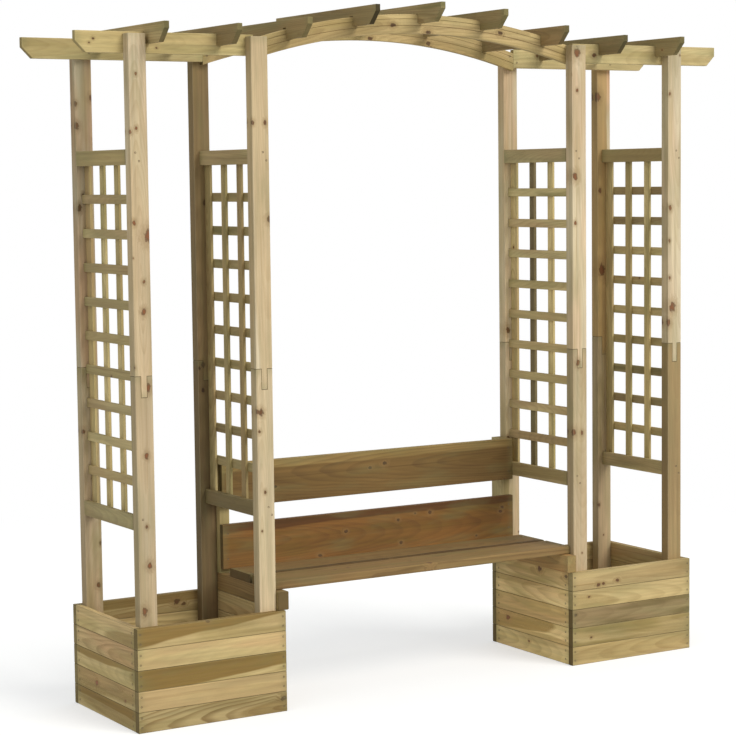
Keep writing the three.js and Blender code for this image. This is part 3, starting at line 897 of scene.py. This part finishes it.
def trellis(place, slats_by_rails, slat_tone, dark_upright=None, dark_slats=(), bottom_rail=0.0):
    node = f"trellis_{place}"
    low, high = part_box(node)
    slat_x = upright_x = low.x + RAIL_THICKNESS
    if slats_by_rails:
        upright_x += THIN
    else:
        slat_x += THIN
    boards = []

    def add(start, end, *shape, **wood):
        boards.append(board(Vector(start), Vector(end), *shape, **wood))

    places = [(low.y, low.y + STILE_WIDTH), (high.y - STILE_WIDTH, high.y)]
    places += [(y - UPRIGHT_WIDTH / 2, y + UPRIGHT_WIDTH / 2) for y in UPRIGHT_PLACES]
    for index, (start, end) in enumerate(places):
        tone = -0.15 if index == dark_upright else slat_tone + chance.uniform(-0.05, 0.25)
        add((upright_x, start, low.z), (upright_x + THIN, end, high.z), "z", LATTICE_ROUNDING,
            tone=tone, heart=0.4, hue=tints())
    highest = high.z - RAIL_HEIGHT - GAP_ABOVE
    lowest = low.z + RAIL_HEIGHT + GAP_BELOW + SLAT_HEIGHT
    behind_rail = (RAIL_HEIGHT - SLAT_HEIGHT) / 2
    tops = [high.z - behind_rail, low.z + RAIL_HEIGHT - behind_rail]
    tops += [highest + (lowest - highest) * step / (OPEN_SLATS - 1) for step in range(OPEN_SLATS)]
    for index, top in enumerate(tops):
        tone = slat_tone + chance.uniform(-0.16, 0.12) - (0.4 if index in dark_slats else 0)
        add((slat_x, low.y, top - SLAT_HEIGHT), (slat_x + THIN, high.y, top), "y", LATTICE_ROUNDING,
            tone=tone, heart=0.4, hue=tints())
    for top, step in ((high.z, 0.0), (low.z + RAIL_HEIGHT, bottom_rail)):
        add((low.x, low.y, top - RAIL_HEIGHT), (low.x + RAIL_THICKNESS, high.y, top), "y", RAIL_ROUNDING,
            tone=chance.uniform(0.3, 0.4) + step, heart=0.6, hue=(0.5, 0.4, 0.3))
    make_piece(node + "_lattice", boards, trellis_pine, node, slot="trellis_pine")


trellis("left_outer", True, 0.36, bottom_rail=-0.12)
trellis("left_inner", False, 0.26, bottom_rail=-0.35)
trellis("right_inner", True, 0.66, dark_upright=3)
trellis("right_outer", False, 0.54, dark_slats=(2, 3, 8, 9))
print("Slats in a trellis:", OPEN_SLATS + 2)

# %% [markdown]
# ## Top rails and rafters
#
# These are boards on edge that start from an outline too: a rail has its free end cut off below, and
# a rafter also has a notch over each beam.

# %% Top rails
RAIL_CUT = 35 * MM


def top_rail(node, **wood):
    low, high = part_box(node)
    outer, inner = (low.x, high.x) if low.x < 0 else (high.x, low.x)
    inward = math.copysign(RAIL_CUT, inner - outer)
    points = [(inner, low.z), (outer + inward, low.z), (outer, low.z + RAIL_CUT), (outer, high.z),
              (inner, high.z)]
    bm = outline_board(points, 1, low.y, high.y, round_by=1.6 * MM)
    lay_grain(bm, low, high, "x", **wood)
    make_piece(node + "_timber", [bm], rail_pine, node, slot="rail_pine")


top_rail("rail_left_front", tone=0.52, hue=(0.2, 0.45, 0.2), knots=[(-390, -26, 4), (-245, 9, 3)], end=0.4)
top_rail("rail_left_back", tone=0.28, hue=(0.2, 0.5, 0.2), end=0.7)
top_rail("rail_right_front", tone=0.46, hue=(0.3, 0.5, 0.3), knots=[(-225, -4, 6)])
top_rail("rail_right_back", tone=0.44)

# %% Rafters
RAFTER_CUT, RAFTER_PLAY = 40 * MM, 0.3 * MM
SUNK = 0.7 * MM  # keeps the screws on the rafters below the top of the CAD box
ARCH_RISE, ARCH_DEPTH = 94.8 * MM, 63 * MM
beam_low, beam_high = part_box("rail_left_back")
arch_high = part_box("arch_front")[1]
arch_half = arch_high.x
arch_radius = (arch_half ** 2 + ARCH_RISE ** 2) / (2 * ARCH_RISE)


def arch_top(x):
    """Height of the beam's top edge, part of a circle."""
    return arch_high.z - arch_radius + math.sqrt(arch_radius ** 2 - x ** 2)


def rafter(number, **wood):
    node = f"rafter_{number}"
    low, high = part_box(node)
    high.z -= SUNK
    x = (low.x + high.x) / 2
    nearest = max(abs(x) - (high.x - low.x) / 2, 0)
    support = arch_top(nearest) if nearest < arch_half else beam_high.z
    near, far, notch_top = beam_low.y - RAFTER_PLAY, beam_high.y + RAFTER_PLAY, support + RAFTER_PLAY
    half = [(near, low.z), (near, notch_top), (far, notch_top), (far, low.z),
            (high.y - RAFTER_CUT, low.z), (high.y, low.z + RAFTER_CUT), (high.y, high.z)]
    bm = outline_board(half + [(-y, z) for y, z in reversed(half)], 0, low.x, high.x,
                       round_by=1.4 * MM)
    lay_grain(bm, low, high, "y", **wood)
    make_piece(node + "_timber", [bm], rafter_pine, node, slot="rafter_pine")


RAFTERS = [
    dict(tone=0.86, hue=(0.2, 0.6, 0.2), end=0.5), dict(tone=0.52, hue=(0.3, 0.4, 0.2), end=0.2),
    dict(tone=0.6, hue=(0.5, 0.5, 0.4), end=0.15), dict(tone=0.56, hue=(0.6, 0.2, 0.3), end=0.95),
    dict(tone=0.7, hue=(0.2, 0.8, 0.2), end=0.1), dict(tone=0.68, hue=(0.1, 0.8, 0.2), end=0.1),
    dict(tone=0.5, hue=(0.7, 0.3, 0.2), end=0.5), dict(tone=0.4, hue=(0.3, 0.6, 0.2), end=0.6),
    dict(tone=0.6, hue=(0.2, 0.7, 0.2), end=0.35),
]
for number, wood in enumerate(RAFTERS, start=1):
    rafter(number, heart=0.6, **wood)
print("Rafters made:", len(RAFTERS))

# %% [markdown]
# ## Arched beams
#
# The beam is three thin layers, bent and glued, with two fine lines between them. Their shallow
# grooves take a darker glue colour, partly the glue and partly painted shade in the grooves. It is
# easiest to make straight and then bend: a long bar is cut across at the two lines of glue, the
# strips there are pressed in, the bar is divided along its length, and each point is moved to its
# height on the arc.

# %% Arched beams
GLUE_LINES, GLUE_GAP = (14 * MM, 35.5 * MM), 2 * MM  # below the top edge
GLUE_SLOPE, GLUE_DEPTH = 0.3 * MM, 0.8 * MM
BEND_CUTS, BEAM_ROUNDING = 47, 1.8 * MM


def in_a_groove(face):
    drop = -face.calc_center_median().z
    return abs(face.normal.y) > 0.9 and any(line < drop < line + GLUE_GAP for line in GLUE_LINES)


def arched_beam(node, **wood):
    low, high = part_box(node)
    straight_low, straight_high = Vector((low.x, low.y, -ARCH_DEPTH)), Vector((high.x, high.y, 0))
    bm = plain_box(straight_low, straight_high)
    for line in GLUE_LINES:
        cut_across(bm, 2, -line)
        cut_across(bm, 2, -line - GLUE_GAP)
    long_edges = [e for e in bm.edges if runs_along(e, 0)]
    bmesh.ops.subdivide_edges(bm, edges=long_edges, cuts=BEND_CUTS, use_grid_fill=True)
    bmesh.ops.inset_region(bm, faces=[f for f in bm.faces if in_a_groove(f)], thickness=GLUE_SLOPE,
                           depth=-GLUE_DEPTH, use_boundary=False)
    # The groove faces take the darker second material: partly the glue, partly painted shade in the groove.
    for face in bm.faces:
        if in_a_groove(face):
            face.material_index = 1
    rims = [e for e in bm.edges if runs_along(e, 0)
            and lies_on(e, 2, -ARCH_DEPTH, 0) and lies_on(e, 1, low.y, high.y)]
    ease(bm, rims, BEAM_ROUNDING, 2)
    lay_grain(bm, straight_low, straight_high, "x", **wood)
    along = bm.verts.layers.float_vector["along"]
    for vert in bm.verts:
        x = vert.co.x
        vert.co.z += arch_top(x)
        vert[along] = Vector((1, 0, -x / arch_radius)).normalized()
    make_piece(node + "_timber", [bm], arch_pine, node, slot="rail_pine", second=glue_line_and_shade)


arched_beam("arch_front", tone=0.5, hue=(0.2, 0.45, 0.1), knots=[(-104, -4, 6), (32, -28, 7), (322, 4, 6)])
arched_beam("arch_back", tone=0.44, hue=(0.2, 0.5, 0.2), knots=[(22, -25, 6), (260, -20, 6)])
print("Arch radius in metres:", round(arch_radius, 3))

# %% [markdown]
# ## Bench
#
# Two bearers lie on the boxes' inner walls, two thick boards make the seat, and two upright battens
# beside the back posts hold two brown boards as the backrest.

# %% Bench boards
single("seat_bearer_left", "y", bench_pine, "bench_pine", round_by=3 * MM, heart=0.0, tone=0.56, end=0.7)
single("seat_bearer_right", "y", bench_pine, "bench_pine", round_by=3 * MM, heart=0.0, tone=1.4,
       hue=(0.9, 0.1, 0.2), end=0.0)
for side in ("left", "right"):
    single(f"backrest_batten_{side}", "z", rail_pine, "bench_pine", round_by=3 * MM, tone=0.3)
single("seat_board_front", "x", bench_pine, "bench_pine", round_by=4.5 * MM, tone=0.56, heart=0.15,
       hue=(0.3, 0.4, 0.2), rings=1.4, knots=[(10, -66, 7), (-260, 20, 5)])
single("seat_board_back", "x", bench_pine, "bench_pine", round_by=2 * MM, tone=0.4, heart=0.15,
       hue=(0.6, 0.2, 0.2), band=(-56, 0.0, -1.0))
single("backrest_board_upper", "x", back_pine, "backrest_pine", tone=0.5, heart=0.0, hue=(0.3, 0.3, 0.0),
       rings=0.6, band=(46, 0.004, -0.9), knots=[(49, 26, 6), (-390, -20, 4)])
# The lower board reaches a little below the seat's top, so that no light comes through between them.
single("backrest_board_lower", "x", heart_pine, "backrest_pine", round_by=1.2 * MM, tone=0.46, heart=0.0,
       lower=2 * MM, hue=(0.5, 0.4, 0.1), band=(50, 0.004, 0.95),
       knots=[(-114, 8, 5), (235, 44, 5), (-219, -66, 5), (172, 46, 3), (540, 20, 5)])
print("Bench made: bearers, battens, seat and back boards")

# %% [markdown]
# ## Screws
#
# A countersunk head is a short cone with a driver recess. One is made at each place with the create
# cone operator, and its outer face is inset and pressed in. Heads are kept to a few dozen faces,
# because there are more than two hundred. A loop puts them in pairs or fours where boards cross, at
# the same distances from the boards' ends and edges.

# %% Screw heads
HEAD_RADIUS, FACE_RADIUS, HEAD_DEPTH = 3.7 * MM, 3.2 * MM, 1.2 * MM
RECESS_INSET, RECESS_DEPTH = 1.7 * MM, 0.7 * MM
NEAR_END, FROM_END, FROM_EDGE = 11 * MM, 19 * MM, 32 * MM


def screws(name, places, facing):
    bm = bmesh.new()
    turn = Vector(facing).to_track_quat("Z", "Y").to_matrix().to_4x4()
    caps = []
    for place in places:
        made = bmesh.ops.create_cone(bm, cap_ends=True, segments=12, radius1=HEAD_RADIUS,
                                     radius2=FACE_RADIUS, depth=HEAD_DEPTH,
                                     matrix=Matrix.Translation(place) @ turn)
        faces = {f for v in made["verts"] for f in v.link_faces if len(f.verts) == 12}
        caps += [f for f in faces if f.normal.dot(Vector(facing)) > 0.9]
    bmesh.ops.inset_individual(bm, faces=caps, thickness=RECESS_INSET, depth=-RECESS_DEPTH,
                               use_even_offset=True)
    piece = new_object(name, bm, steel)
    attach(piece, "root")
    return len(places)


def inset(low, high, by):
    return (low + by, high - by)


def grid(xs, ys, zs):
    return [Vector((x, y, z)) for x in xs for y in ys for z in zs]


total = 0
for node, rows in WALLS.items():
    low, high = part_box(node)
    height = (high.z - low.z) / len(rows)
    heights = [low.z + (row + share) * height for row in range(len(rows)) for share in (0.27, 0.73)]
    if "front" in node or "back" in node:
        way, face = (-1, low.y) if low.y < 0 else (1, high.y)
        spots, facing = grid(inset(low.x, high.x, NEAR_END), [face], heights), (0, way, 0)
    else:
        way, face = (-1, low.x) if "left_outer" in node or "right_inner" in node else (1, high.x)
        spots, facing = grid([face], inset(low.y, high.y, FROM_END), heights), (way, 0, 0)
    total += screws(node + "_screws", spots, facing)
print("Planter screws:", total)

# %% Screws of the bench, the trellises and the top
for level in ("lower", "upper"):
    low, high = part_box(f"backrest_board_{level}")
    spots = grid(inset(low.x, high.x, FROM_END), [low.y], inset(low.z, high.z, FROM_EDGE))
    total += screws(f"backrest_{level}_screws", spots, (0, -1, 0))
for row in ("front", "back"):
    low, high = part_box(f"seat_board_{row}")
    spots = grid(inset(low.x, high.x, FROM_END), inset(low.y, high.y, FROM_EDGE), [high.z])
    total += screws(f"seat_{row}_screws", spots, (0, 0, 1))
for place in ("left_outer", "left_inner", "right_inner", "right_outer"):
    low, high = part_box(f"trellis_{place}")
    for row, way in (("front", -1), ("back", 1)):
        post_low, post_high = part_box(f"post_lower_{place}_{row}")
        face = post_low.y if way < 0 else post_high.y
        spots = [Vector((low.x + across * MM, face, middle + up * MM))
                 for middle in (high.z - RAIL_HEIGHT / 2, low.z + RAIL_HEIGHT / 2)
                 for across, up in ((17, 13), (29, -13))]
        total += screws(f"trellis_{place}_{row}_screws", spots, (0, way, 0))
for side in ("left", "right"):
    for row, way in (("front", 1), ("back", -1)):
        low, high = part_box(f"rail_{side}_{row}")
        face = high.y if way > 0 else low.y
        spots = []
        for place in ("inner", "outer"):
            post_low, post_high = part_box(f"post_upper_{side}_{place}_{row}")
            middle = (post_low.x + post_high.x) / 2
            spots.append(Vector((middle - 15 * MM, face, high.z - 24 * MM)))
            spots.append(Vector((middle + 15 * MM, face, low.z + 20 * MM)))
        total += screws(f"rail_{side}_{row}_screws", spots, (0, way, 0))
beam = (beam_low.y + beam_high.y) / 2
for number in range(1, len(RAFTERS) + 1):
    low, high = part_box(f"rafter_{number}")
    spots = grid([(low.x + high.x) / 2], (-beam, beam), [high.z - SUNK])
    total += screws(f"rafter_{number}_screws", spots, (0, 0, 1))
print("Screws in all:", total)

# %% [markdown]
# ## Floor
#
# The photograph's ground is plain white. A wide disc catches the object's soft shadow near the
# feet. It is a mid grey that doesn't throw much light back, lifted to white for camera rays only.
# Further out it fades, again for camera rays only, to the same white as the world, so no horizon
# shows from any side.

# %% Floor
RADIUS, DROP = 30, 0.4 * MM
FADE = (1.8, 4.0)  # metres from the middle where it starts and where the floor is white
white, pen = new_material("white floor")
away = pen.vector("LENGTH", pen.add("ShaderNodeTexCoord").outputs["Object"], output="Value")
looked_at = pen.looked_at()
matt = pen.add("ShaderNodeBsdfPrincipled")
matt.inputs["Base Color"].default_value = (0.62, 0.62, 0.62, 1)
matt.inputs["Roughness"].default_value = 0.9
matt.inputs["Specular IOR Level"].default_value = 0.0
glow = pen.add("ShaderNodeEmission")
glow.inputs["Strength"].default_value = 1.0
lift = pen.add("ShaderNodeEmission", {"Strength": looked_at * 0.5})
near = pen.add("ShaderNodeAddShader", {0: matt.outputs[0], 1: lift.outputs[0]})
fade = pen.between(away, *FADE) * looked_at
both = pen.add("ShaderNodeMixShader", {0: fade, 1: near.outputs[0], 2: glow.outputs[0]})
pen.add("ShaderNodeOutputMaterial", {"Surface": both.outputs[0]})

bm = bmesh.new()
bmesh.ops.create_circle(bm, cap_ends=True, segments=96, radius=RADIUS)
bmesh.ops.translate(bm, vec=(0, 0, -DROP), verts=bm.verts)
floor = new_object("floor", bm, white)
print("Floor's material nodes:", len(pen.tree.nodes))
